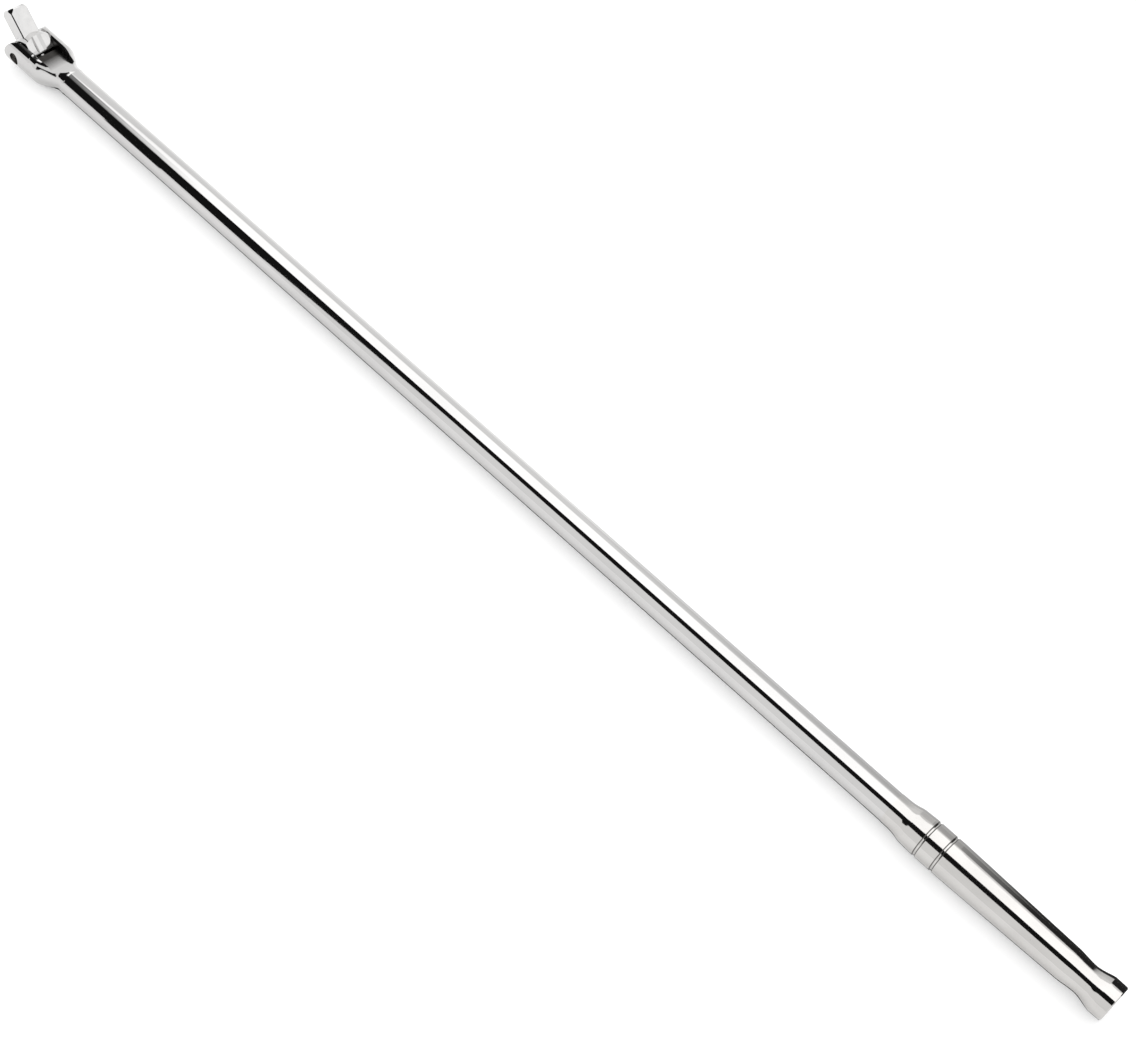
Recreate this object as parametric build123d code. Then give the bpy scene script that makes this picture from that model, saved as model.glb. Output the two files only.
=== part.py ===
from build123d import *
import math
import os

# Flex-head breaker bar, 1/2 inch square drive. All sizes in millimetres.
# Model frame while drawing: pivot pin centre at the origin, +X along the bar to its butt, +Z up.
# Everything is moved at the end so that the origin is the bottom centre of the whole tool.

# Overall
overallInLine = 914.4           # tip of the square to the butt when the head is in line
shaftDia = 19.0
raiseDeg = 47.0                 # angle of the drive head above the line of the bar, as stored

# Drive head
squareSide = 12.7
squareEdgeChamfer = 0.6
tipReach = 28.5                 # pin centre to the tip of the square
tipChamfer = 0.8
tipTurned = 6.5                 # radius the tip's corners are turned down to
tipTurnedSlope = 35.0           # degrees from the head's own axis
lugWidth = 17.0                 # across the two flat sides that face the fork
lugRadius = 10.4                # round bottom of the lug, about the pin
shoulderReach = 8.8             # pin centre to where the square's corners meet the shoulder
shoulderSlope = 56.0            # degrees from the head's own axis
seatWidth = 7.2                 # the three detent seats, at their mouths
seatFloor = 3.0                 # and at their flat floors
seatLength = 10.6
seatDepth = 1.3
seatLow = -2.8                  # lower end of a side seat, measured from the pin towards the tip
coneWide = 20.0                 # radius of the shoulder's cone before the lug's outline trims it
coneBuried = 0.4                # how far the cone's small end sits inside the square
retainerBallDia = 4.0
retainerReach = 19.0            # pin centre to the socket retaining ball
retainerProud = 0.9
retainerBoreDepth = 9.0
retainerLip = 0.5               # thickness of the rolled lip that keeps the ball in
retainerRunning = 0.05
retainerCoil = (1.8, 0.45, 1.1)     # spring: outside radius, wire, pitch
coilEndGap = 0.05

# Fork
slotWidth = 17.4
slotBreak = 1.2                 # bevel along the slot's outer edges
slotBreakEnd = 26.0             # it has faded out before this
forkHalfWidth = 16.4            # pin centre to the outside of a cheek
cheekRound = 12.8               # radius of the barrelled outside of a cheek
barrelTurn = 52.0               # the barrel ends where its surface has turned this far from level
edgeRound = 6.0                 # round between the barrel and the crown of the fork
crownTurn = 14.0                # the crown ends where it has turned this far from level
noseRadius = 10.0               # round end of the fork seen from the side
noseBack = 0.4                  # its centre, behind the pin
forkStraight = 18.0             # where the cheeks start to draw in to the shaft
forkEnd = 36.0                  # where the head has become the round shaft
webNose = 12.3                  # front of the web at the bottom of the slot
webHalf = 4.2                   # half height of the web's flat front
rampEnd = 40.0                  # where the ramps run out of the shaft
rampHeight = 9.9
rampSag = 1.6                   # how far a ramp dips below a straight line
forkSections = 7
forkLead = 5.0                  # length before and after them that holds the loft straight

# Pivot pin
pinDia = 8.0
pinRunning = 0.05               # radial clearance in the lug
pinRecess = 3.0
pinChamfer = 0.5

# Flex detent
detentBallDia = 6.0
detentGap = 0.06                # between the ball and the lug's round bottom
detentBoreDia = 6.2
detentBoreDepth = 19.0
detentCoil = (2.8, 0.8, 2.1)        # spring: outside radius, wire, pitch

# Grip sleeve, distances counted back from the butt
buttDia = 22.4
capDia = 22.7
capLength = 8.0
waistAt = 17.0
waistDia = 18.5
gripRearAt = 30.0
gripRearDia = 20.1
gripFrontAt = 108.0
gripFrontDia = 23.4
grooveAt = (113.4, 125.2)       # centres of the two rolled grooves
grooveWidth = 2.0
grooveDepth = 0.6
flareTopAt = 135.8              # the flare's own top, from where the sleeve swells slowly
flareTopDia = 22.5
flareMidAt = 138.7
flareMidDia = 21.2
flareFootAt = 142.5
flareFootDia = 19.85
swellTopAt = 127.5
neckAt = 150.0
neckDia = 19.3
boreStepAt = 100.0
rimChamfer = 0.6
tailDia = 15.4
tailAt = 42.0                   # end of the bar inside the sleeve
tailChamfer = 1.0

# End plug
plugDepth = 14.0
plugLead = 0.8                  # chamfer at the end that is pressed in
plugChamfer = 0.4

buttX = overallInLine - tipReach


def turnedX(profile):
    """Solid of revolution about X from (x, radius) edges that start and end on the axis."""
    return revolve(make_face(profile), Axis.X, 360)


# Fork and shaft

def headSection(x, halfWidth, barrel, edge):
    """Cross-section of the head: a level crown, a round edge and a barrelled side, all tangent."""
    turnP, turnQ = math.radians(barrelTurn), math.radians(crownTurn)
    barrelMid = halfWidth - barrel
    py, pz = barrelMid + barrel * math.sin(turnP), barrel * math.cos(turnP)
    edgeY, edgeZ = py - edge * math.sin(turnP), pz - edge * math.cos(turnP)
    qy, qz = edgeY + edge * math.sin(turnQ), edgeZ + edge * math.cos(turnQ)
    turnM = (turnP + turnQ) / 2
    my, mz = edgeY + edge * math.sin(turnM), edgeZ + edge * math.cos(turnM)
    crown = qy / math.sin(turnQ)
    height = qz + crown * (1 - math.cos(turnQ))
    edges = [ThreePointArc((x, -qy, qz), (x, 0, height), (x, qy, qz)),
             ThreePointArc((x, qy, qz), (x, my, mz), (x, py, pz)),
             ThreePointArc((x, py, pz), (x, halfWidth, 0), (x, py, -pz)),
             ThreePointArc((x, py, -pz), (x, my, -mz), (x, qy, -qz)),
             ThreePointArc((x, qy, -qz), (x, 0, -height), (x, -qy, -qz)),
             ThreePointArc((x, -qy, -qz), (x, -my, -mz), (x, -py, -pz)),
             ThreePointArc((x, -py, -pz), (x, -halfWidth, 0), (x, -py, pz)),
             ThreePointArc((x, -py, pz), (x, -my, mz), (x, -qy, qz))]
    return make_face(edges)


def makeHead():
    r = shaftDia / 2
    first, last = forkStraight - forkLead, forkEnd + forkLead
    sections = [headSection(first, forkHalfWidth, cheekRound, edgeRound)]
    for i in range(forkSections):
        t = i / (forkSections - 1)
        ease = t * t * (3 - 2 * t)
        x = forkStraight + (forkEnd - forkStraight) * t
        halfWidth = forkHalfWidth + (r - forkHalfWidth) * ease
        barrel = cheekRound + (r - cheekRound) * ease
        edge = edgeRound + (r - edgeRound) * ease
        sections.append(headSection(x, halfWidth, barrel, edge))
    sections.append(headSection(last, r, r, r))
    neck = loft(sections)
    start = -noseRadius - 3
    straight = headSection(start, forkHalfWidth, cheekRound, edgeRound)
    front = extrude(straight, first - start, dir=(1, 0, 0))
    return front + neck


def makeCheekOutline():
    """Side view of the fork: round about the pin, then clear of the crown all the way back."""
    r = noseRadius
    wide = 2 * forkHalfWidth
    back = forkEnd + 2 * forkLead
    high = 2 * r
    nose = Plane.XZ.offset(-wide / 2) * Pos(noseBack, 0) * extrude(Circle(r), wide)
    rear = Pos((noseBack + back) / 2, 0, 0) * Box(back - noseBack, wide, 2 * high)
    return nose + rear


def makeSlot():
    """Slot of the fork with the web's flat front and its two hollow ramps left standing."""
    half = slotWidth / 2
    mid = (webNose + rampEnd) / 2
    midZ = (webHalf + rampHeight) / 2 - rampSag
    front, high = -2 * noseRadius, 2 * noseRadius
    edges = [Line((front, -half, high), (front, -half, -high)),
             Line((front, -half, -high), (rampEnd, -half, -high)),
             Line((rampEnd, -half, -high), (rampEnd, -half, -rampHeight)),
             ThreePointArc((rampEnd, -half, -rampHeight), (mid, -half, -midZ), (webNose, -half, -webHalf)),
             Line((webNose, -half, -webHalf), (webNose, -half, webHalf)),
             ThreePointArc((webNose, -half, webHalf), (mid, -half, midZ), (rampEnd, -half, rampHeight)),
             Line((rampEnd, -half, rampHeight), (rampEnd, -half, high)),
             Line((rampEnd, -half, high), (front, -half, high))]
    return extrude(make_face(edges), slotWidth, dir=(0, 1, 0))


def makeSlotBreak():
    """Bevels along the slot's outer edges, above, below and around the nose of the fork."""
    half = slotWidth / 2
    low = noseRadius - slotBreak
    reach = 5 * slotBreak
    x = noseBack
    edges = [Line((x, -half, low), (x, half, low)),
             Line((x, half, low), (x, half + reach, low + reach)),
             Line((x, half + reach, low + reach), (x, -half - reach, low + reach)),
             Line((x, -half - reach, low + reach), (x, -half, low))]
    profile = make_face(edges)
    top = extrude(profile, slotBreakEnd - x, dir=(1, 0, 0))
    nose = revolve(profile, Axis((x, 0, 0), (0, -1, 0)), 180)
    return top + mirror(top, Plane.XY) + nose


def makeBar():
    head = makeHead() & makeCheekOutline()
    step = buttX - boreStepAt
    start = forkEnd + forkLead
    shaft = Plane.YZ.offset(start) * extrude(Circle(shaftDia / 2), step - start)
    tail = Plane.YZ.offset(step) * extrude(Circle(tailDia / 2), boreStepAt - tailAt)
    bar = head + shaft + tail
    bar -= makeSlot()
    bar -= makeSlotBreak()
    bar -= Rot(90, 0, 0) * Cylinder(pinDia / 2, 4 * forkHalfWidth)
    depth = detentBoreDepth
    bar -= Pos(webNose + depth / 2, 0, 0) * Rot(0, 90, 0) * Cylinder(detentBoreDia / 2, depth)
    endEdge = bar.edges().filter_by(GeomType.CIRCLE).sort_by(Axis.X)[-1]
    return chamfer(endEdge, tailChamfer)


# Drive head, drawn standing up: its own axis on +Z, the side that faces the bar's top on +X

def makeSquare():
    square = Pos(0, 0, tipReach / 2) * Box(squareSide, squareSide, tipReach)
    square = chamfer(square.faces().sort_by(Axis.Z)[-1].edges(), tipChamfer)
    prism = Pos(0, 0, tipReach / 2) * Box(squareSide, squareSide, tipReach)
    grow = tipReach * math.tan(math.radians(tipTurnedSlope))
    turned = [Line((0, 0, 0), (tipTurned + grow, 0, 0)),
              Line((tipTurned + grow, 0, 0), (tipTurned, 0, tipReach)),
              Line((tipTurned, 0, tipReach), (0, 0, tipReach)),
              Line((0, 0, tipReach), (0, 0, 0))]
    square &= revolve(make_face(turned), Axis.Z, 360)
    return square & chamfer(prism.edges().filter_by(Axis.Z), squareEdgeChamfer)


def makeLug():
    """Round-bottomed lug, its top turned to a cone.

    The cone reaches the square's corners at shoulderReach and runs on up the square's flats,
    which it meets in low arches. Its small end is buried in the square.
    """
    half = squareSide / 2
    cornerR = half * math.sqrt(2) - squareEdgeChamfer * math.sqrt(0.5)
    slope = math.tan(math.radians(shoulderSlope))
    nearR = half - coneBuried
    low = -coneWide
    farZ = shoulderReach - (coneWide - cornerR) / slope
    nearZ = shoulderReach + (cornerR - nearR) / slope
    cone = [Line((0, 0, low), (coneWide, 0, low)),
            Line((coneWide, 0, low), (coneWide, 0, farZ)),
            Line((coneWide, 0, farZ), (nearR, 0, nearZ)),
            Line((nearR, 0, nearZ), (0, 0, nearZ)),
            Line((0, 0, nearZ), (0, 0, low))]
    r = lugRadius
    side = lugWidth / 2
    high = nearZ + 1
    outline = [Line((-r, -side, high), (-r, -side, 0)),
               ThreePointArc((-r, -side, 0), (0, -side, -r), (r, -side, 0)),
               Line((r, -side, 0), (r, -side, high)),
               Line((r, -side, high), (-r, -side, high))]
    lug = extrude(make_face(outline), lugWidth, dir=(0, 1, 0))
    return lug & revolve(make_face(cone), Axis.Z, 360)


def makeSeat():
    """Cutter for a detent seat with sloping sides, its mouth at x = 0 and its floor inwards."""
    floor, mouth = seatFloor / 2, seatWidth / 2
    above = 2 * mouth - floor
    corners = [(-seatDepth, -floor), (-seatDepth, floor), (seatDepth, above), (seatDepth, -above)]
    outline = Polyline(*corners, close=True)
    return Pos(0, 0, -seatLength / 2) * extrude(make_face(outline), seatLength)


def makeDriveTang():
    half = squareSide / 2
    tang = makeSquare() + makeLug()
    # detent seats at the two sides and at the bottom
    seat = makeSeat()
    middle = seatLow + seatLength / 2
    tang -= Pos(lugRadius, 0, middle) * seat
    tang -= Pos(-lugRadius, 0, middle) * Rot(0, 0, 180) * seat
    tang -= Pos(0, 0, -lugRadius) * Rot(0, 90, 0) * seat
    # pin bore, and the blind bore of the retaining ball, closed in at its mouth
    tang -= Rot(90, 0, 0) * Cylinder(pinDia / 2 + pinRunning, 2 * lugWidth)
    boreR = retainerBallDia / 2 + retainerRunning
    mouth = half - retainerLip
    bore = Rot(90, 0, 0) * Cylinder(boreR, retainerBoreDepth)
    tang -= Pos(0, mouth - retainerBoreDepth / 2, retainerReach) * bore
    lip = math.sqrt(boreR ** 2 - (mouth - ballCentre()) ** 2)
    tang -= Pos(0, half, retainerReach) * Rot(90, 0, 0) * Cylinder(lip, 4 * retainerLip)
    return tang


def ballCentre():
    """Distance of the retaining ball's centre from the head's own axis."""
    return squareSide / 2 + retainerProud - retainerBallDia / 2


def makeSpring(coil, length):
    """Coil spring along +Z from 0 to length, with its wire's ends inside that length."""
    radius, wire, pitch = coil
    path = Pos(0, 0, wire / 2) * Helix(pitch, length - wire, radius - wire / 2)
    start = path.position_at(0)
    return sweep(Plane(start, z_dir=path.tangent_at(0)) * Circle(wire / 2), path)


def makeRetainerBall():
    return Pos(0, ballCentre(), retainerReach) * Sphere(retainerBallDia / 2)


def makeRetainerSpring():
    back = squareSide / 2 - retainerLip - retainerBoreDepth + coilEndGap
    front = ballCentre() - retainerBallDia / 2 - coilEndGap
    return Pos(0, back, retainerReach) * Rot(-90, 0, 0) * makeSpring(retainerCoil, front - back)


# Pieces of the flex joint that stay with the bar

def makePivotPin():
    length = 2 * (forkHalfWidth - pinRecess)
    pin = Rot(90, 0, 0) * Cylinder(pinDia / 2, length)
    return chamfer(pin.edges().filter_by(GeomType.CIRCLE), pinChamfer)


def makeDetentBall():
    x = lugRadius + detentGap + detentBallDia / 2
    return Pos(x, 0, 0) * Sphere(detentBallDia / 2)


def makeDetentSpring():
    front = lugRadius + detentGap + detentBallDia + coilEndGap
    back = webNose + detentBoreDepth - coilEndGap
    return Pos(front, 0, 0) * Rot(0, 90, 0) * makeSpring(detentCoil, back - front)


# Grip

def makeGripOutline():
    """Half profile of the sleeve in the XZ plane, from its thin neck to the butt."""
    bx = buttX
    neck = (bx - neckAt, 0, neckDia / 2)
    foot = (bx - flareFootAt, 0, flareFootDia / 2)
    middle = (bx - flareMidAt, 0, flareMidDia / 2)
    flare = (bx - flareTopAt, 0, flareTopDia / 2)
    swell = (bx - swellTopAt, 0, gripFrontDia / 2)
    front = (bx - gripFrontAt, 0, gripFrontDia / 2)
    rear = (bx - gripRearAt, 0, gripRearDia / 2)
    waist = (bx - waistAt, 0, waistDia / 2)
    cap = (bx - capLength, 0, capDia / 2)
    butt = (bx, 0, buttDia / 2)
    return [Line((neck[0], 0, 0), neck),
            Spline(neck, foot, middle, flare, tangents=[(1, 0, 0.02), (1, 0, 0.1)]),
            Line(flare, swell),
            Line(swell, front),
            Line(front, rear),
            Spline(rear, waist, cap, tangents=[(1, 0, -0.06), (1, 0, 0.2)]),
            Line(cap, butt),
            Line(butt, (bx, 0, 0)),
            Line((bx, 0, 0), (neck[0], 0, 0))]


def makeGroove(x):
    """Ring to take away for one rolled groove, an arc in section."""
    surface = gripFrontDia / 2
    half = grooveWidth / 2
    above = surface + 1
    ring = [Line((x - half, 0, above), (x - half, 0, surface)),
            ThreePointArc((x - half, 0, surface), (x, 0, surface - grooveDepth), (x + half, 0, surface)),
            Line((x + half, 0, surface), (x + half, 0, above)),
            Line((x + half, 0, above), (x - half, 0, above))]
    return turnedX(ring)


def makeGripSleeve():
    sleeve = turnedX(makeGripOutline())
    for at in grooveAt:
        sleeve -= makeGroove(buttX - at)
    neckX = buttX - neckAt
    step = buttX - boreStepAt
    sleeve -= Plane.YZ.offset(neckX - 1) * extrude(Circle(shaftDia / 2), step - neckX + 1)
    sleeve -= Plane.YZ.offset(step - 1) * extrude(Circle(tailDia / 2), boreStepAt + 2)
    rim = sleeve.edges().filter_by(GeomType.CIRCLE).sort_by(Axis.X)[-2:].sort_by(SortBy.RADIUS)[-1]
    return chamfer(rim, rimChamfer)


def makeEndPlug():
    plug = Plane.YZ.offset(buttX - plugDepth) * extrude(Circle(tailDia / 2), plugDepth)
    lead = plug.edges().filter_by(GeomType.CIRCLE).sort_by(Axis.X)[0]
    plug = chamfer(lead, plugLead)
    back = plug.edges().filter_by(GeomType.CIRCLE).sort_by(Axis.X)[-1]
    return chamfer(back, plugChamfer)


def leanHead(shape):
    """Turn a piece of the drive head from standing up to its stored angle."""
    return Rot(0, raiseDeg - 90, 0) * shape


pieces = {
    "bar": makeBar(),
    "grip_sleeve": makeGripSleeve(),
    "end_plug": makeEndPlug(),
    "pivot_pin": makePivotPin(),
    "detent_ball": makeDetentBall(),
    "detent_spring": makeDetentSpring(),
    "drive_tang": leanHead(makeDriveTang()),
    "socket_ball": leanHead(makeRetainerBall()),
    "socket_ball_spring": leanHead(makeRetainerSpring()),
}

# Bottom centre of the whole tool
boxes = [piece.bounding_box() for piece in pieces.values()]
lowX = min(box.min.X for box in boxes)
highX = max(box.max.X for box in boxes)
lowZ = min(box.min.Z for box in boxes)
shift = Pos(-(lowX + highX) / 2, 0, -lowZ)

os.makedirs("parts", exist_ok=True)
for name, piece in pieces.items():
    export_step(shift * piece, "parts/" + name + ".step")

print("pin centre", shift.position, "length", highX - lowX)
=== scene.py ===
import bpy
import math
from mathutils import Matrix, Vector


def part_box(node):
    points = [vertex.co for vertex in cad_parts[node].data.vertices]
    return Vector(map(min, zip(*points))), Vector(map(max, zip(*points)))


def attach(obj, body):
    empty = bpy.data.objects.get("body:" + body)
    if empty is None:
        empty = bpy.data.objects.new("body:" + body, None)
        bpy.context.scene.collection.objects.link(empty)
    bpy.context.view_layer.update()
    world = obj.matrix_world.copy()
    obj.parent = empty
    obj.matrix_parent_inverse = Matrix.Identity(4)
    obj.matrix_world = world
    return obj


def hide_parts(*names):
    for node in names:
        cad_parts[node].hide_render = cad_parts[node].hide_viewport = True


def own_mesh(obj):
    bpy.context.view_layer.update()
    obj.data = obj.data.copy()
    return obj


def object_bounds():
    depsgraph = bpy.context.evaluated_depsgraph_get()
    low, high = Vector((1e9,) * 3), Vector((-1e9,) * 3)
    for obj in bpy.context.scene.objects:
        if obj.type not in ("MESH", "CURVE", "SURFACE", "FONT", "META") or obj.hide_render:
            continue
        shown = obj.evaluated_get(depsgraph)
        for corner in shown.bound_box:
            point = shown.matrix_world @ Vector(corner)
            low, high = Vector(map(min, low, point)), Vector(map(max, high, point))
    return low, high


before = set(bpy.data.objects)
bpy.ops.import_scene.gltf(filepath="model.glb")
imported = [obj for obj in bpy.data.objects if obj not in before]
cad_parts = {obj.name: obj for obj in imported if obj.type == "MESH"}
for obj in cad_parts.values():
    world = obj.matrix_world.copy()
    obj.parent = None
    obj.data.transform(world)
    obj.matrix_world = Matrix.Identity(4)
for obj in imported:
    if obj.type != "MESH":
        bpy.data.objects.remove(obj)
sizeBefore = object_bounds()

# Breaker bar: a chromed bar with a forked end, a hinged drive head and a pressed-on grip sleeve.
# Everything is in metres. X runs along the bar to its butt, Z is up, the floor is at zero.

mm = 0.001
pinLow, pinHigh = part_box("pivot_pin")
pinCentre = (pinLow + pinHigh) / 2
sleeveLow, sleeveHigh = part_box("grip_sleeve")
plugLow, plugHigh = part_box("end_plug")


def deselectAll():
    if bpy.context.object and bpy.context.object.mode != "OBJECT":
        bpy.ops.object.mode_set(mode="OBJECT")
    bpy.ops.object.select_all(action="DESELECT")


# Node helpers

def addNode(tree, kind, x, y):
    node = tree.nodes.new(kind)
    node.location = (x, y)
    return node


def mapRange(tree, value, low, high, toLow, toHigh, x, y):
    node = addNode(tree, "ShaderNodeMapRange", x, y)
    node.inputs["From Min"].default_value = low
    node.inputs["From Max"].default_value = high
    node.inputs["To Min"].default_value = toLow
    node.inputs["To Max"].default_value = toHigh
    tree.links.new(value, node.inputs["Value"])
    return node.outputs["Result"]


def noise(tree, vector, scale, detail, x, y):
    node = addNode(tree, "ShaderNodeTexNoise", x, y)
    node.inputs["Scale"].default_value = scale
    node.inputs["Detail"].default_value = detail
    tree.links.new(vector, node.inputs["Vector"])
    return node.outputs["Fac"]


def stretched(tree, vector, scale, x, y):
    node = addNode(tree, "ShaderNodeMapping", x, y)
    node.inputs["Scale"].default_value = scale
    tree.links.new(vector, node.inputs["Vector"])
    return node.outputs["Vector"]


def bump(tree, height, strength, distance, under, x, y):
    node = addNode(tree, "ShaderNodeBump", x, y)
    node.inputs["Strength"].default_value = strength
    node.inputs["Distance"].default_value = distance
    tree.links.new(height, node.inputs["Height"])
    if under:
        tree.links.new(under, node.inputs["Normal"])
    return node.outputs["Normal"]


def mixColour(tree, factor, first, second, x, y):
    node = addNode(tree, "ShaderNodeMix", x, y)
    node.data_type = "RGBA"
    for socket, value in (("A", first), ("B", second)):
        if isinstance(value, tuple):
            node.inputs[socket].default_value = (*value, 1)
        else:
            tree.links.new(value, node.inputs[socket])
    tree.links.new(factor, node.inputs["Factor"])
    return node.outputs["Result"]


def mixNumber(tree, factor, first, second, x, y):
    node = addNode(tree, "ShaderNodeMix", x, y)
    tree.links.new(factor, node.inputs["Factor"])
    tree.links.new(first, node.inputs["A"])
    node.inputs["B"].default_value = second
    return node.outputs["Result"]


def mathNode(tree, operation, first, second, x, y):
    node = addNode(tree, "ShaderNodeMath", x, y)
    node.operation = operation
    for i, value in enumerate((first, second)):
        if isinstance(value, (int, float)):
            node.inputs[i].default_value = value
        elif value is not None:
            tree.links.new(value, node.inputs[i])
    return node.outputs["Value"]


# Where each noise begins and ends to show, and the least that the painted slot shade and painted groove shade
# keep in a blotch
noiseLook = {
    "cloudFrom": 0.35, "cloudTo": 0.7, "roughFrom": 0.3, "roughTo": 0.7, "fleckFrom": 0.70, "fleckTo": 0.78,
    "blotchFrom": 0.2, "blotchTo": 0.8, "paintedSlotShadeLeast": 0.86, "paintedGrooveShadeLeast": 0.7,
}


# Plated and bare metal. Smudges cloud the plate, a slow wave bends its reflections a little,
# and hairlines follow the way it was polished. The slot option paints shade that darkens the plate in a slot,
# and the groove option paints dark lines of shade along the edges of rolled grooves.
def metal(name, look):
    mat = bpy.data.materials.new(name)
    mat.use_nodes = True
    tree = mat.node_tree
    tree.nodes.clear()
    out = addNode(tree, "ShaderNodeOutputMaterial", 1100, 0)
    shader = addNode(tree, "ShaderNodeBsdfPrincipled", 800, 0)
    shader.inputs["Metallic"].default_value = 1.0
    tree.links.new(shader.outputs["BSDF"], out.inputs["Surface"])
    place = addNode(tree, "ShaderNodeTexCoord", -1300, 0).outputs["Object"]

    smudgePlace = stretched(tree, place, look["smudgeStretch"], -1100, 300)
    smudge = noise(tree, smudgePlace, look["smudgeScale"], 4.0, -900, 300)
    speck = noise(tree, place, look["speckScale"], 2.0, -900, 550)
    cloud = mapRange(tree, smudge, noiseLook["cloudFrom"], noiseLook["cloudTo"], 0.0, 1.0, -650, 400)
    colour = mixColour(tree, cloud, look["colour"], look["clouded"], 0, 400)
    fleckFrom, fleckTo = noiseLook["fleckFrom"], noiseLook["fleckTo"]
    fleck = mapRange(tree, speck, fleckFrom, fleckTo, 0.0, look["speckAmount"], -650, 600)
    colour = mixColour(tree, fleck, colour, look["speck"], 200, 450)
    roughFrom, roughTo = noiseLook["roughFrom"], noiseLook["roughTo"]
    rough = mapRange(tree, smudge, roughFrom, roughTo, look["smooth"], look["rough"], -650, 150)

    wave = noise(tree, place, look["waveScale"], 1.0, -900, -100)
    normal = bump(tree, wave, look["waveStrength"], look["waveHeight"], None, 0, -100)
    markPlace = stretched(tree, place, look["markStretch"], -1100, -350)
    marks = noise(tree, markPlace, look["markScale"], 3.0, -900, -350)
    normal = bump(tree, marks, look["markStrength"], look["markHeight"], normal, 200, -300)

    blotchFrom, blotchTo = noiseLook["blotchFrom"], noiseLook["blotchTo"]
    # painted shade: near black inside the slot, fading out towards the butt
    if "paintedSlotShade" in look:
        paintedSlotShade = look["paintedSlotShade"]
        split = addNode(tree, "ShaderNodeSeparateXYZ", -1100, 900)
        tree.links.new(place, split.inputs["Vector"])
        side = mathNode(tree, "ABSOLUTE", split.outputs["Y"], None, -900, 900)
        outside = paintedSlotShade["halfWidth"] + paintedSlotShade["edge"]
        within = mapRange(tree, side, paintedSlotShade["halfWidth"], outside, 1.0, 0.0, -650, 900)
        along = mapRange(tree, split.outputs["X"], paintedSlotShade["full"], paintedSlotShade["gone"], 1.0, 0.0, -650, 1100)
        amount = mathNode(tree, "MULTIPLY", within, along, -400, 1000)
        blotch = mapRange(tree, smudge, blotchFrom, blotchTo, noiseLook["paintedSlotShadeLeast"], 1.0, -400, 800)
        amount = mathNode(tree, "MULTIPLY", amount, blotch, -200, 950)
        colour = mixColour(tree, amount, colour, paintedSlotShade["colour"], 400, 500)
        rough = mixNumber(tree, amount, rough, paintedSlotShade["rough"], 400, 250)
    # painted shade: dark lines along the edges of the grooves
    if "paintedGrooveShade" in look:
        paintedGrooveShade = look["paintedGrooveShade"]
        split = addNode(tree, "ShaderNodeSeparateXYZ", -1100, 900)
        tree.links.new(place, split.inputs["Vector"])
        amount = None
        for i, centre in enumerate(paintedGrooveShade["at"]):
            row = 900 + 150 * i
            offset = mathNode(tree, "SUBTRACT", split.outputs["X"], centre, -900, row)
            away = mathNode(tree, "ABSOLUTE", offset, None, -750, row)
            ring = mapRange(tree, away, paintedGrooveShade["full"], paintedGrooveShade["gone"], 1.0, 0.0, -600, row)
            amount = ring if amount is None else mathNode(tree, "MAXIMUM", amount, ring, -400, 1000)
        blotch = mapRange(tree, smudge, blotchFrom, blotchTo, noiseLook["paintedGrooveShadeLeast"], 1.0, -400, 800)
        amount = mathNode(tree, "MULTIPLY", amount, blotch, -200, 950)
        colour = mixColour(tree, amount, colour, paintedGrooveShade["colour"], 400, 500)
        rough = mixNumber(tree, amount, rough, paintedGrooveShade["rough"], 400, 250)
    tree.links.new(colour, shader.inputs["Base Color"])
    tree.links.new(rough, shader.inputs["Roughness"])
    tree.links.new(normal, shader.inputs["Normal"])
    return mat


def dress(node, mat):
    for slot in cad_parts[node].material_slots:
        slot.material = mat


# The bar: bright chrome, polished lengthwise, with painted shade darkening the slot of its fork
barLook = {
    "colour": (0.52, 0.515, 0.51), "clouded": (0.485, 0.48, 0.477), "speck": (0.30, 0.29, 0.28),
    "smudgeStretch": (0.25, 1.0, 1.0), "smudgeScale": 70.0, "speckScale": 900.0, "speckAmount": 0.35,
    "smooth": 0.035, "rough": 0.075, "waveScale": 110.0, "waveStrength": 0.22, "waveHeight": 0.04 * mm,
    "markStretch": (6.0, 120.0, 120.0), "markScale": 9.0, "markStrength": 0.07, "markHeight": 0.03 * mm,
    "paintedSlotShade": {
        "halfWidth": 8.75 * mm, "edge": 0.1 * mm,
        "full": pinCentre.x + 17 * mm, "gone": pinCentre.x + 29 * mm,
        "colour": (0.022, 0.020, 0.018), "rough": 0.32,
    },
}
dress("bar", metal("polishedChrome", barLook))

# The grip sleeve: the same plate on a turned and rolled tube, a little warmer
sleeveLook = {
    "colour": (0.515, 0.505, 0.492), "clouded": (0.475, 0.465, 0.453), "speck": (0.30, 0.28, 0.26),
    "smudgeStretch": (0.5, 1.0, 1.0), "smudgeScale": 90.0, "speckScale": 900.0, "speckAmount": 0.4,
    "smooth": 0.04, "rough": 0.085, "waveScale": 120.0, "waveStrength": 0.22, "waveHeight": 0.04 * mm,
    "markStretch": (160.0, 3.0, 3.0), "markScale": 12.0, "markStrength": 0.06, "markHeight": 0.02 * mm,
    # painted shade along the four edges of the two grooves, in mm from the butt
    "paintedGrooveShade": {"at": [sleeveHigh.x - back * mm for back in (112.6, 114.2, 124.4, 126.0)],
              "full": 0.15 * mm, "gone": 0.42 * mm, "colour": (0.09, 0.085, 0.08), "rough": 0.3},
}
dress("grip_sleeve", metal("sleeveChrome", sleeveLook))

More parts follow.
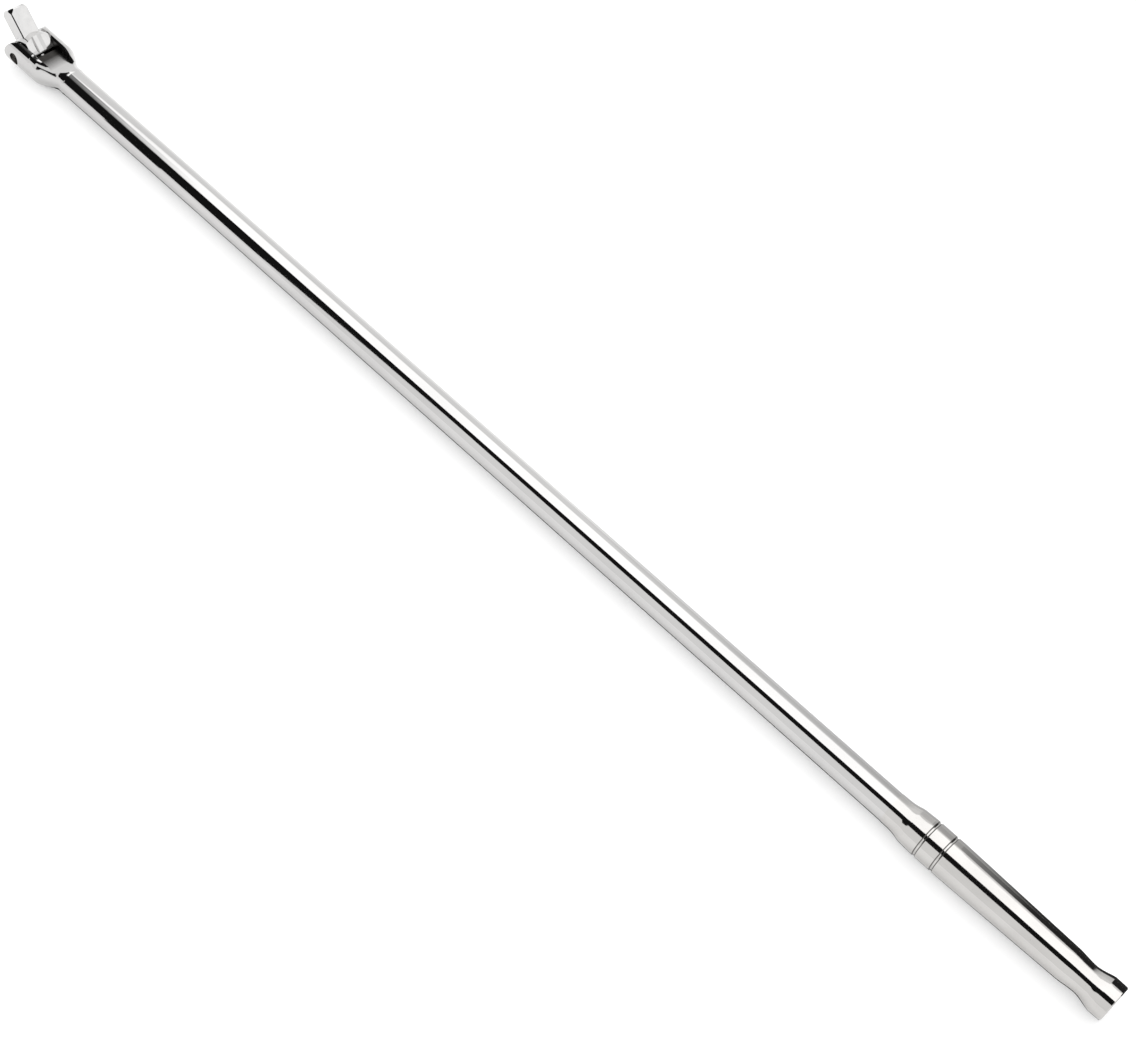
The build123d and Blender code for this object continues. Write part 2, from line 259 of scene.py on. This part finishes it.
# The drive tang: chrome over ground flats, so its reflections are a little softer
tangLook = {
    "colour": (0.55, 0.545, 0.54), "clouded": (0.50, 0.497, 0.495), "speck": (0.28, 0.27, 0.26),
    "smudgeStretch": (1.0, 1.0, 1.0), "smudgeScale": 180.0, "speckScale": 1500.0, "speckAmount": 0.4,
    "smooth": 0.05, "rough": 0.11, "waveScale": 220.0, "waveStrength": 0.25, "waveHeight": 0.03 * mm,
    "markStretch": (60.0, 20.0, 60.0), "markScale": 30.0, "markStrength": 0.08, "markHeight": 0.02 * mm,
}
tangShape = {"merge": 0.002 * mm, "flat": 0.6, "smooth": 40.0,
             "edge": 0.38 * mm, "segments": 3, "sharper": 24.0}


# A merged copy of a CAD piece, on its own mesh
def merged(node, name, shape):
    deselectAll()
    piece = bpy.data.objects.new(name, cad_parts[node].data.copy())
    bpy.context.scene.collection.objects.link(piece)
    bpy.context.view_layer.objects.active = piece
    piece.select_set(True)
    bpy.ops.object.mode_set(mode="EDIT")
    bpy.ops.mesh.customdata_custom_splitnormals_clear()
    bpy.ops.mesh.select_all(action="SELECT")
    bpy.ops.mesh.remove_doubles(threshold=shape["merge"])
    bpy.ops.mesh.dissolve_limited(angle_limit=math.radians(shape["flat"]))
    bpy.ops.object.mode_set(mode="OBJECT")
    bpy.ops.object.shade_smooth_by_angle(angle=math.radians(shape["smooth"]))
    return piece


# The same, with its sharp edges softened
def softened(node, name, shape):
    piece = merged(node, name, shape)
    bevel = piece.modifiers.new("softEdges", "BEVEL")
    bevel.width = shape["edge"]
    bevel.segments = shape["segments"]
    bevel.limit_method = "ANGLE"
    bevel.angle_limit = math.radians(shape["sharper"])
    bevel.harden_normals = True
    bpy.ops.object.modifier_apply(modifier=bevel.name)
    return piece


driveTang = softened("drive_tang", "driveTang", tangShape)
driveTang.data.materials.clear()
driveTang.data.materials.append(metal("driveChrome", tangLook))
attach(driveTang, "head")
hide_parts("drive_tang")
print("drive tang done", len(driveTang.data.polygons))

# The pivot pin: ground steel, coloured dark so that its ends give painted shade at the bottom of their
# recesses
pinLook = {
    "colour": (0.16, 0.15, 0.14), "clouded": (0.08, 0.075, 0.07), "speck": (0.04, 0.03, 0.025),
    "smudgeStretch": (1.0, 1.0, 1.0), "smudgeScale": 400.0, "speckScale": 2200.0, "speckAmount": 0.7,
    "smooth": 0.28, "rough": 0.5, "waveScale": 500.0, "waveStrength": 0.3, "waveHeight": 0.04 * mm,
    "markStretch": (400.0, 4.0, 400.0), "markScale": 8.0, "markStrength": 0.2, "markHeight": 0.02 * mm,
}
dress("pivot_pin", metal("pinSteel", pinLook))

# The end plug: turned steel under a thinner plate
plugLook = {
    "colour": (0.50, 0.49, 0.475), "clouded": (0.42, 0.41, 0.395), "speck": (0.2, 0.18, 0.16),
    "smudgeStretch": (1.0, 1.0, 1.0), "smudgeScale": 200.0, "speckScale": 1200.0, "speckAmount": 0.5,
    "smooth": 0.12, "rough": 0.24, "waveScale": 300.0, "waveStrength": 0.3, "waveHeight": 0.03 * mm,
    "markStretch": (1.0, 90.0, 90.0), "markScale": 25.0, "markStrength": 0.12, "markHeight": 0.02 * mm,
}
plugShape = {"sides": 96, "rim": 0.35 * mm, "rimSegments": 3, "lead": 0.8 * mm, "land": 1.7 * mm,
             "dish": 0.45 * mm, "wall": 0.5 * mm, "near": 0.01 * mm, "smooth": 30, "sharper": 40}
deselectAll()
bpy.ops.mesh.primitive_cylinder_add(
    vertices=plugShape["sides"], radius=(plugHigh.z - plugLow.z) / 2, depth=plugHigh.x - plugLow.x,
    location=(plugLow + plugHigh) / 2, rotation=(0, math.pi / 2, 0))
endPlug = bpy.context.object
endPlug.name = "endPlug"
bpy.ops.object.transform_apply(location=True, rotation=True, scale=True)


# Selects the faces of the active piece that pass a test, and leaves it in edit mode
def selectFaces(piece, test):
    bpy.ops.object.mode_set(mode="EDIT")
    bpy.ops.mesh.select_mode(type="FACE")
    bpy.ops.mesh.select_all(action="DESELECT")
    bpy.ops.object.mode_set(mode="OBJECT")
    for face in piece.data.polygons:
        face.select = test(face)
    bpy.ops.object.mode_set(mode="EDIT")


# the end that shows: a rounded rim, a flat land and a shallow turned dish
selectFaces(endPlug, lambda face: face.center.x > plugHigh.x - plugShape["near"])
bpy.ops.mesh.inset(thickness=plugShape["land"])
bpy.ops.mesh.inset(thickness=plugShape["wall"], depth=-plugShape["dish"])
bpy.ops.mesh.inset(thickness=plugShape["land"])
# the end that is pressed in: a lead chamfer
selectFaces(endPlug, lambda face: face.center.x < plugLow.x + plugShape["near"])
bpy.ops.mesh.bevel(offset=plugShape["lead"], segments=1, affect="EDGES")
bpy.ops.object.mode_set(mode="OBJECT")
bpy.ops.object.shade_smooth_by_angle(angle=math.radians(plugShape["smooth"]))
rim = endPlug.modifiers.new("rim", "BEVEL")
rim.width = plugShape["rim"]
rim.segments = plugShape["rimSegments"]
rim.limit_method = "ANGLE"
rim.angle_limit = math.radians(plugShape["sharper"])
rim.harden_normals = True
bpy.ops.object.modifier_apply(modifier=rim.name)
endPlug.data.materials.clear()
endPlug.data.materials.append(metal("plugSteel", plugLook))
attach(endPlug, "handle")
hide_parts("end_plug")
print("end plug done", len(endPlug.data.polygons))

# The two balls: hard polished steel with fine rubbing marks
ballLook = {
    "colour": (0.58, 0.575, 0.57), "clouded": (0.46, 0.455, 0.45), "speck": (0.2, 0.19, 0.18),
    "smudgeStretch": (1.0, 1.0, 1.0), "smudgeScale": 500.0, "speckScale": 2500.0, "speckAmount": 0.5,
    "smooth": 0.08, "rough": 0.2, "waveScale": 700.0, "waveStrength": 0.15, "waveHeight": 0.02 * mm,
    "markStretch": (300.0, 40.0, 40.0), "markScale": 12.0, "markStrength": 0.12, "markHeight": 0.01 * mm,
}
ballSteel = metal("ballSteel", ballLook)
dress("detent_ball", ballSteel)
dress("socket_ball", ballSteel)

# The two springs: drawn music wire, dark with oil
springLook = {
    "colour": (0.17, 0.16, 0.15), "clouded": (0.09, 0.085, 0.08), "speck": (0.05, 0.04, 0.03),
    "smudgeStretch": (1.0, 1.0, 1.0), "smudgeScale": 600.0, "speckScale": 2500.0, "speckAmount": 0.5,
    "smooth": 0.25, "rough": 0.4, "waveScale": 900.0, "waveStrength": 0.2, "waveHeight": 0.02 * mm,
    "markStretch": (40.0, 400.0, 400.0), "markScale": 10.0, "markStrength": 0.2, "markHeight": 0.01 * mm,
}
springSteel = metal("springSteel", springLook)
springShape = {"merge": 0.001 * mm, "flat": 0.2, "smooth": 50.0}


# A spring: a merged copy of its CAD piece in spring steel, attached to its body, on its own mesh
def spring(node, name, body):
    piece = merged(node, name, springShape)
    piece.data.materials.clear()
    piece.data.materials.append(springSteel)
    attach(piece, body)
    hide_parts(node)
    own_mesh(piece)


spring("detent_spring", "detentSpring", "handle")
spring("socket_ball_spring", "socketBallSpring", "head")
print("materials done")

# Camera, placed from the pivot pin
cameraLook = {
    "from": (0.8856, -0.5845, 0.9689),
    "right": (0.7069, 0.6951, 0.1313),
    "down": (0.6267, -0.5293, -0.5720),
    "forward": (-0.3281, 0.4866, -0.8097),
    "lens": 66.26, "sensor": 36.0, "near": 0.01, "far": 50.0,
}
camData = bpy.data.cameras.new("studioCamera")
camData.lens = cameraLook["lens"]
camData.sensor_width = cameraLook["sensor"]
camData.clip_start = cameraLook["near"]
camData.clip_end = cameraLook["far"]
camera = bpy.data.objects.new("studioCamera", camData)
bpy.context.scene.collection.objects.link(camera)
right, down, forward = (Vector(cameraLook[k]).normalized() for k in ("right", "down", "forward"))
turn = Matrix((right, -down, -forward)).transposed()
camera.matrix_world = Matrix.Translation(pinCentre + Vector(cameraLook["from"])) @ turn.to_4x4()
bpy.context.scene.camera = camera

# Floor: white paper with a faint tooth
floorLook = {"size": 16.0, "colour": (0.70, 0.70, 0.70), "toned": (0.685, 0.685, 0.685),
             "lit": 0.38,     # a glow from below keeps the shadows faint
             "grain": 700.0, "rough": 0.9, "bump": 0.05, "height": 0.05 * mm}
deselectAll()
bpy.ops.mesh.primitive_plane_add(size=floorLook["size"], location=(0, 0, 0))
floor = bpy.context.object
floor.name = "studioFloor"
paper = bpy.data.materials.new("whitePaper")
paper.use_nodes = True
paperShader = paper.node_tree.nodes["Principled BSDF"]
paperShader.inputs["Roughness"].default_value = floorLook["rough"]
paperShader.inputs["Specular IOR Level"].default_value = 0.0
paperShader.inputs["Emission Color"].default_value = (1, 1, 1, 1)
paperShader.inputs["Emission Strength"].default_value = floorLook["lit"]
paperPlace = addNode(paper.node_tree, "ShaderNodeTexCoord", -900, 0).outputs["Object"]
grain = noise(paper.node_tree, paperPlace, floorLook["grain"], 3.0, -700, 0)
paperColour = mixColour(paper.node_tree, grain, floorLook["colour"], floorLook["toned"], -300, 200)
paper.node_tree.links.new(paperColour, paperShader.inputs["Base Color"])
tooth = bump(paper.node_tree, grain, floorLook["bump"], floorLook["height"], None, -300, -200)
paper.node_tree.links.new(tooth, paperShader.inputs["Normal"])
floor.data.materials.append(paper)

# Studio: a white room, a soft key from behind the bar, and cards that only the chrome sees
studioLook = {"room": 1.2, "key": 0.85, "keyAngle": 40.0, "keyFrom": (-0.2, 0.62, 0.76), "ceiling": 3.0,
              "softbox": 1.98, "side": 1.5, "black": 0.012}
world = bpy.data.worlds.new("studioWorld")
bpy.context.scene.world = world
world.use_nodes = True
world.node_tree.nodes["Background"].inputs["Color"].default_value = (1.0, 1.0, 1.0, 1)
world.node_tree.nodes["Background"].inputs["Strength"].default_value = studioLook["room"]
bpy.context.scene.view_settings.view_transform = "Standard"
deselectAll()
bpy.ops.object.light_add(type="SUN", location=Vector(studioLook["keyFrom"]) * 3)
key = bpy.context.object
key.name = "softKey"
key.data.energy = studioLook["key"]
key.data.angle = math.radians(studioLook["keyAngle"])
key.rotation_euler = Vector(studioLook["keyFrom"]).to_track_quat("Z", "Y").to_euler()
key.visible_glossy = False


def glow(name, strength):
    mat = bpy.data.materials.new(name)
    mat.use_nodes = True
    tree = mat.node_tree
    tree.nodes.clear()
    out = addNode(tree, "ShaderNodeOutputMaterial", 300, 0)
    light = addNode(tree, "ShaderNodeEmission", 0, 0)
    light.inputs["Strength"].default_value = strength
    tree.links.new(light.outputs["Emission"], out.inputs["Surface"])
    return mat, tree, light


# a card that goes from bright to dark along X, by (x, strength) stops
def shadedGlow(name, stops):
    mat, tree, light = glow(name, 1.0)
    place = addNode(tree, "ShaderNodeTexCoord", -900, 0)
    split = addNode(tree, "ShaderNodeSeparateXYZ", -700, 0)
    tree.links.new(place.outputs["Object"], split.inputs["Vector"])
    curve = addNode(tree, "ShaderNodeFloatCurve", -300, 0)
    low, high = stops[0][0], stops[-1][0]
    most = max(s for _, s in stops)
    along = mapRange(tree, split.outputs["X"], low, high, 0.0, 1.0, -500, 0)
    tree.links.new(along, curve.inputs["Value"])
    points = curve.mapping.curves[0].points
    for i, (x, strength) in enumerate(stops):
        at = ((x - low) / (high - low), strength / most)
        point = points[0] if i == 0 else points[-1] if i == len(stops) - 1 else points.new(*at)
        point.location = at
        point.handle_type = "VECTOR"
    curve.mapping.update()
    scaled = mathNode(tree, "MULTIPLY", curve.outputs["Value"], most, -100, 0)
    tree.links.new(scaled, light.inputs["Strength"])
    return mat


def card(name, corners, mat):
    mesh = bpy.data.meshes.new(name)
    mesh.from_pydata([Vector(c) for c in corners], [], [tuple(range(len(corners)))])
    obj = bpy.data.objects.new(name, mesh)
    bpy.context.scene.collection.objects.link(obj)
    mesh.materials.append(mat)
    obj.visible_camera = False
    obj.visible_shadow = False
    obj.visible_diffuse = False
    return obj


def overhead(name, corners, height, mat):
    return card(name, [(x * height, y * height, height) for x, y in corners], mat)


def around(name, angles, distance, mat):
    corners = []
    for turned, raised in angles:
        a, e = math.radians(turned), math.radians(raised)
        corners.append(Vector((math.cos(a) * math.cos(e), math.sin(a) * math.cos(e), math.sin(e))) * distance)
    return card(name, corners, mat)


# Corners of the cards: shares of the ceiling's height, degrees turned and raised, or metres.
# Stops are (place along X, strength).
cardLook = {
    "overheadSoftbox": [(-0.76, -0.34), (0.95, -0.24), (0.95, 0.95), (-0.95, 0.95), (-0.9, 0.22)],
    "sideSoftbox": [(0.95, -0.24), (1.9, -0.24), (1.9, 0.95), (0.95, 0.95)],
    "cornerStops": [(-1.8, 0.02), (-0.93, 0.05), (-0.86, 0.4), (-0.79, 1.3), (-0.72, 1.98)],
    "darkCorner": [(-1.8, -0.55), (-0.72, -0.34), (-0.72, 0.20), (-1.8, 0.34)], "cornerDrop": 0.995,
    "darkGap": [(-0.62, -1.0), (1.9, -0.88), (1.9, -0.22), (-0.62, -0.33)], "gapRise": 1.01,
    "darkEnd": [(-122.5, 10), (-121.5, 45), (-140, 58), (-178, 55), (-178, 25), (-150, 8)], "endAway": 6.0,
    "headFlag": [(-0.03, 0, -0.022), (0.03, 0, -0.022), (0.03, 0, 0.03), (-0.03, 0, 0.03)],
    "flagFromPin": (0.035, -0.115, 0.035),
    "contactNear": -0.0095, "contactFar": 0.008, "contactUp": 0.0003,
    "wallStops": [(-1.0, 1.15), (-0.23, 0.87), (0.09, 0.55), (0.30, 0.03), (3.0, 0.02)],
    "farWall": [(-1.0, 3.0, 0.002), (3.0, 3.0, 0.002), (3.0, 3.0, 2.75), (-1.0, 3.0, 2.3)],
    "floorStops": [(0.05, 1.2), (0.27, 0.85), (0.336, 0.62), (0.39, 0.04), (3.0, 0.02)],
    "farFloor": [(0.05, 0.013, 0.0004), (3.0, 0.013, 0.0004), (3.0, 3.0, 0.0004), (0.05, 3.0, 0.0004)],
}
h = studioLook["ceiling"]
softboxGlow = glow("softboxGlow", studioLook["softbox"])[0]
sideGlow = glow("sideGlow", studioLook["side"])[0]
blackFlag = glow("blackFlag", studioLook["black"])[0]
overhead("overheadSoftbox", cardLook["overheadSoftbox"], h, softboxGlow)
overhead("sideSoftbox", cardLook["sideSoftbox"], h, sideGlow)
cornerShade = shadedGlow("cornerShade", [(x * h, strength) for x, strength in cardLook["cornerStops"]])
overhead("darkCorner", cardLook["darkCorner"], cardLook["cornerDrop"] * h, cornerShade)
overhead("darkGap", cardLook["darkGap"], cardLook["gapRise"] * h, blackFlag)
around("darkEnd", cardLook["darkEnd"], cardLook["endAway"], blackFlag)
flagBy = pinCentre + Vector(cardLook["flagFromPin"])     # a small flag beside the head
card("headFlag", [flagBy + Vector(c) for c in cardLook["headFlag"]], blackFlag)
lowX, highX = sizeBefore[0][0], sizeBefore[1][0]
near, far, up = (cardLook[k] for k in ("contactNear", "contactFar", "contactUp"))
card("contactShade", [(lowX, near, up), (highX, near, up), (highX, far, up), (lowX, far, up)], blackFlag)
card("farWall", cardLook["farWall"], shadedGlow("wallShade", cardLook["wallStops"]))
card("farFloor", cardLook["farFloor"], shadedGlow("floorShade", cardLook["floorStops"]))
print("studio done")
